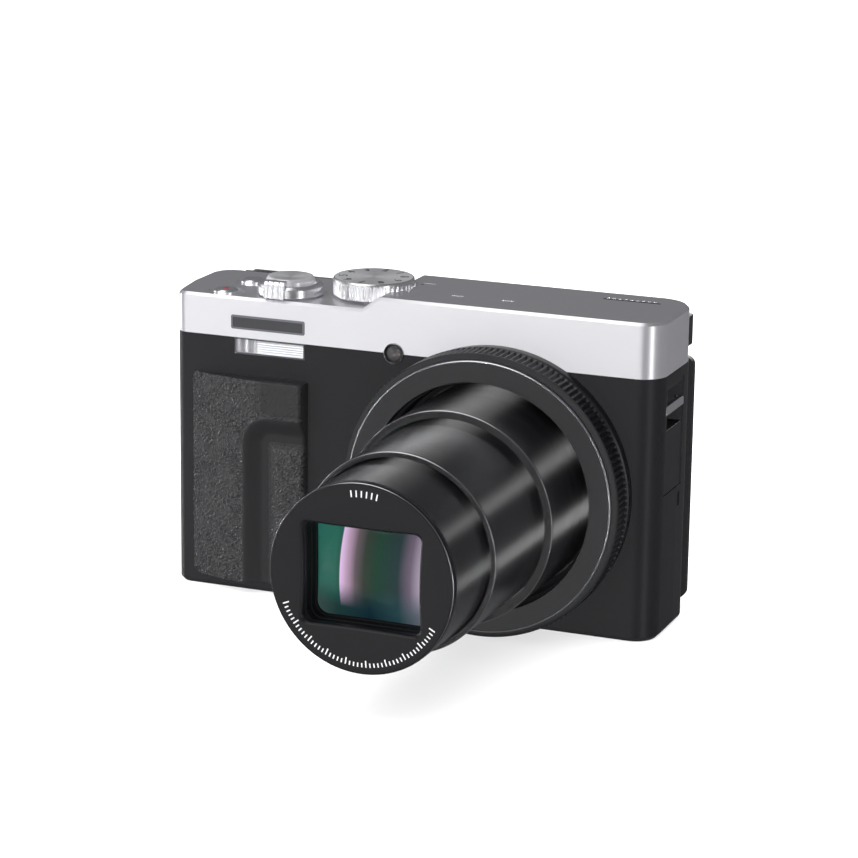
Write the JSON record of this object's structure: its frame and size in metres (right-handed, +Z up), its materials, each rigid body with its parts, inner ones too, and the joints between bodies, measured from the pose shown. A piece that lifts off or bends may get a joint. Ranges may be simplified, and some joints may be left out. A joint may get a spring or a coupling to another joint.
{
  "type": "compact digital camera",
  "caption": "Travel-zoom compact camera with a three-stage extending lens, eye-level viewfinder and a flip-up rear monitor",
  "frame": {"origin": "mouth of the tripod socket, in the middle of the base", "axes": "+X towards the strap side, -Y out of the lens, +Z up; the base stands on z = 0"},
  "size_m": [0.1122, 0.1034, 0.0706],
  "materials": {
    "silver_shell": "satin silver paint",
    "black_shell": "satin black paint",
    "leatherette": "pebble-grained leatherette",
    "black_trim": "gloss black",
    "lens_barrel": "black anodised, soft gloss",
    "lens_bezel": "black anodised, satin",
    "dial_metal": "spun silver",
    "key_plastic": "satin black",
    "strap_metal": "polished",
    "lens_glass": "coated, green and violet",
    "flash_glass": "ribbed clear",
    "lamp_glass": "smoked",
    "screen_glass": "black gloss",
    "inner_plastic": "moulded black",
    "inner_metal": "stamped sheet",
    "steel": "plain",
    "circuit": "solder mask green",
    "sensor_face": "dark iridescent",
    "battery_wrap": "wrapped cell",
    "card_plastic": "dark blue plastic"
  },
  "bodies": {
    "camera_body": {"front_cover": "black_shell", "top_cover": "silver_shell", "rear_cover": "black_shell", "grip_panel": "leatherette", "lens_trim_ring": "black_trim", "lens_housing": "inner_plastic", "flash_window": "flash_glass", "flash_reflector": "inner_metal", "flash_capacitor": "inner_plastic", "af_lamp_window": "lamp_glass", "side_panel": "black_shell", "strap_bar": "strap_metal", "viewfinder_housing": "black_shell", "viewfinder_eyepiece": "screen_glass", "thumb_rest": "leatherette", "switch_board": "circuit", "chassis": "inner_metal", "main_board": "circuit", "image_sensor": "sensor_face", "battery": "battery_wrap", "memory_card": "card_plastic", "tripod_socket": "steel", "terminal_sockets": "steel", "body_screws": "steel", "zoom_motor": "steel", "monitor_hinge_pin": "steel", "door_hinge_pin": "steel"},
    "control_ring": {"control_ring": "black_trim"},
    "cam_ring": {"cam_ring": "inner_plastic"},
    "lens_stage_1": {"barrel_large": "lens_barrel"},
    "lens_stage_2": {"barrel_middle": "lens_barrel", "zoom_lens_group": "lens_glass", "shutter_unit": "inner_plastic"},
    "lens_stage_3": {"barrel_small": "lens_barrel", "front_bezel": "lens_bezel", "front_lens": "lens_glass"},
    "barrier_inner_upper": {"barrier_inner_upper": "lens_bezel"},
    "barrier_outer_upper": {"barrier_outer_upper": "lens_bezel"},
    "barrier_inner_lower": {"barrier_inner_lower": "lens_bezel"},
    "barrier_outer_lower": {"barrier_outer_lower": "lens_bezel"},
    "zoom_lever": {"zoom_lever": "dial_metal"},
    "shutter_button": {"shutter_button": "dial_metal"},
    "mode_dial": {"mode_dial": "dial_metal"},
    "power_button": {"power_button": "dial_metal"},
    "movie_button": {"movie_button": "dial_metal"},
    "rear_dial": {"rear_dial": "key_plastic"},
    "menu_button": {"menu_button": "key_plastic"},
    "dioptre_dial": {"dioptre_dial": "key_plastic"},
    "monitor_bracket": {"monitor_bracket": "inner_metal"},
    "monitor": {"monitor_frame": "black_shell", "monitor_glass": "screen_glass"},
    "battery_door": {"battery_door": "black_shell"},
    "door_latch": {"door_latch": "key_plastic"},
    "terminal_door": {"terminal_door": "black_shell"},
    "exposure_lock_button": {"exposure_lock_button": "key_plastic"},
    "viewfinder_button": {"viewfinder_button": "key_plastic"},
    "quick_menu_button": {"quick_menu_button": "key_plastic"},
    "playback_button": {"playback_button": "key_plastic"},
    "display_button": {"display_button": "key_plastic"},
    "delete_button": {"delete_button": "key_plastic"}
  },
  "joints": [
    {"name": "lens_retract", "type": "slide", "parent": "camera_body", "child": "lens_stage_1", "axis": [0, 1, 0], "range_m": [0, 0.0176]},
    {"name": "lens_stage_2_slide", "type": "slide", "parent": "lens_stage_1", "child": "lens_stage_2", "axis": [0, 1, 0], "range_m": [0, 0.02651]},
    {"name": "lens_stage_3_slide", "type": "slide", "parent": "lens_stage_2", "child": "lens_stage_3", "axis": [0, 1, 0], "range_m": [0, 0.01801]},
    {"name": "cam_ring_turn", "type": "hinge", "parent": "camera_body", "child": "cam_ring", "pos_m": [0.0206, -0.004, 0.0309], "axis": [0, -1, 0], "range_deg": [0, 160.1]},
    {"name": "barrier_close", "type": "slide", "parent": "lens_stage_3", "child": "barrier_inner_upper", "axis": [0, 0, -1], "range_m": [0, 0.01015]},
    {"name": "barrier_outer_upper_slide", "type": "slide", "parent": "lens_stage_3", "child": "barrier_outer_upper", "axis": [0, 0, -1], "range_m": [0, 0.00507]},
    {"name": "barrier_inner_lower_slide", "type": "slide", "parent": "lens_stage_3", "child": "barrier_inner_lower", "axis": [0, 0, 1], "range_m": [0, 0.01015]},
    {"name": "barrier_outer_lower_slide", "type": "slide", "parent": "lens_stage_3", "child": "barrier_outer_lower", "axis": [0, 0, 1], "range_m": [0, 0.00507]},
    {"name": "control_ring_turn", "type": "hinge", "parent": "camera_body", "child": "control_ring", "pos_m": [0.0206, -0.0206, 0.0309], "axis": [0, -1, 0], "continuous": true},
    {"name": "zoom_lever_turn", "type": "hinge", "parent": "camera_body", "child": "zoom_lever", "pos_m": [-0.0305, -0.0053, 0.068], "axis": [0, 0, 1], "range_deg": [-22, 22], "stiffness_Nm_per_rad": 0.02},
    {"name": "shutter_press", "type": "slide", "parent": "camera_body", "child": "shutter_button", "axis": [0, 0, -1], "range_m": [0, 0.0009], "stiffness_N_per_m": 900, "springref_m": -0.0003},
    {"name": "mode_dial_turn", "type": "hinge", "parent": "camera_body", "child": "mode_dial", "pos_m": [-0.0129, -0.0007, 0.068], "axis": [0, 0, 1], "continuous": true},
    {"name": "power_press", "type": "slide", "parent": "camera_body", "child": "power_button", "axis": [0, 0, -1], "range_m": [0, 0.0005], "stiffness_N_per_m": 1200, "springref_m": -0.0002},
    {"name": "movie_press", "type": "slide", "parent": "camera_body", "child": "movie_button", "axis": [0, 0, -1], "range_m": [0, 0.0005], "stiffness_N_per_m": 1200, "springref_m": -0.0002},
    {"name": "rear_dial_turn", "type": "hinge", "parent": "camera_body", "child": "rear_dial", "pos_m": [-0.037, 0.0144, 0.024], "axis": [0, 1, 0], "continuous": true},
    {"name": "menu_press", "type": "slide", "parent": "camera_body", "child": "menu_button", "axis": [0, -1, 0], "range_m": [0, 0.0004], "stiffness_N_per_m": 1000, "springref_m": -0.0002},
    {"name": "exposure_lock_press", "type": "slide", "parent": "camera_body", "child": "exposure_lock_button", "axis": [0, -1, 0], "range_m": [0, 0.0004], "stiffness_N_per_m": 1000, "springref_m": -0.0002},
    {"name": "viewfinder_press", "type": "slide", "parent": "camera_body", "child": "viewfinder_button", "axis": [0, -1, 0], "range_m": [0, 0.0004], "stiffness_N_per_m": 1000, "springref_m": -0.0002},
    {"name": "quick_menu_press", "type": "slide", "parent": "camera_body", "child": "quick_menu_button", "axis": [0, -1, 0], "range_m": [0, 0.0004], "stiffness_N_per_m": 1000, "springref_m": -0.0002},
    {"name": "playback_press", "type": "slide", "parent": "camera_body", "child": "playback_button", "axis": [0, -1, 0], "range_m": [0, 0.0004], "stiffness_N_per_m": 1000, "springref_m": -0.0002},
    {"name": "display_press", "type": "slide", "parent": "camera_body", "child": "display_button", "axis": [0, -1, 0], "range_m": [0, 0.0004], "stiffness_N_per_m": 1000, "springref_m": -0.0002},
    {"name": "delete_press", "type": "slide", "parent": "camera_body", "child": "delete_button", "axis": [0, -1, 0], "range_m": [0, 0.0004], "stiffness_N_per_m": 1000, "springref_m": -0.0002},
    {"name": "dioptre_turn", "type": "hinge", "parent": "camera_body", "child": "dioptre_dial", "pos_m": [0.0513, 0.0156, 0.062], "axis": [0, 0, 1], "range_deg": [-140, 140]},
    {"name": "monitor_tilt", "type": "hinge", "parent": "camera_body", "child": "monitor_bracket", "pos_m": [0.005, 0.016, 0.0573], "axis": [1, 0, 0], "range_deg": [0, 180]},
    {"name": "monitor_rise", "type": "slide", "parent": "monitor_bracket", "child": "monitor", "axis": [0, 0, -1], "range_m": [0, 0.01101]},
    {"name": "battery_door_open", "type": "hinge", "parent": "camera_body", "child": "battery_door", "pos_m": [-0.01405, 0.001, 0.00095], "axis": [0, -1, 0], "range_deg": [0, 95]},
    {"name": "door_latch_slide", "type": "slide", "parent": "battery_door", "child": "door_latch", "axis": [1, 0, 0], "range_m": [0, 0.002]},
    {"name": "terminal_door_open", "type": "hinge", "parent": "camera_body", "child": "terminal_door", "pos_m": [-0.05535, 0.00265, 0.0295], "axis": [0, 0, 1], "range_deg": [0, 95]}
  ],
  "couplings": [
    {"joint": "lens_stage_2_slide", "follows": "lens_retract", "ratio": 1.5057},
    {"joint": "lens_stage_3_slide", "follows": "lens_retract", "ratio": 1.0227},
    {"joint": "cam_ring_turn", "follows": "lens_retract", "rad_per_m": 158.67},
    {"joint": "barrier_outer_upper_slide", "follows": "barrier_close", "ratio": 0.5},
    {"joint": "barrier_inner_lower_slide", "follows": "barrier_close", "ratio": 1},
    {"joint": "barrier_outer_lower_slide", "follows": "barrier_close", "ratio": 0.5},
    {"joint": "monitor_rise", "follows": "monitor_tilt", "m_per_rad": 0.0035014}
  ]
}
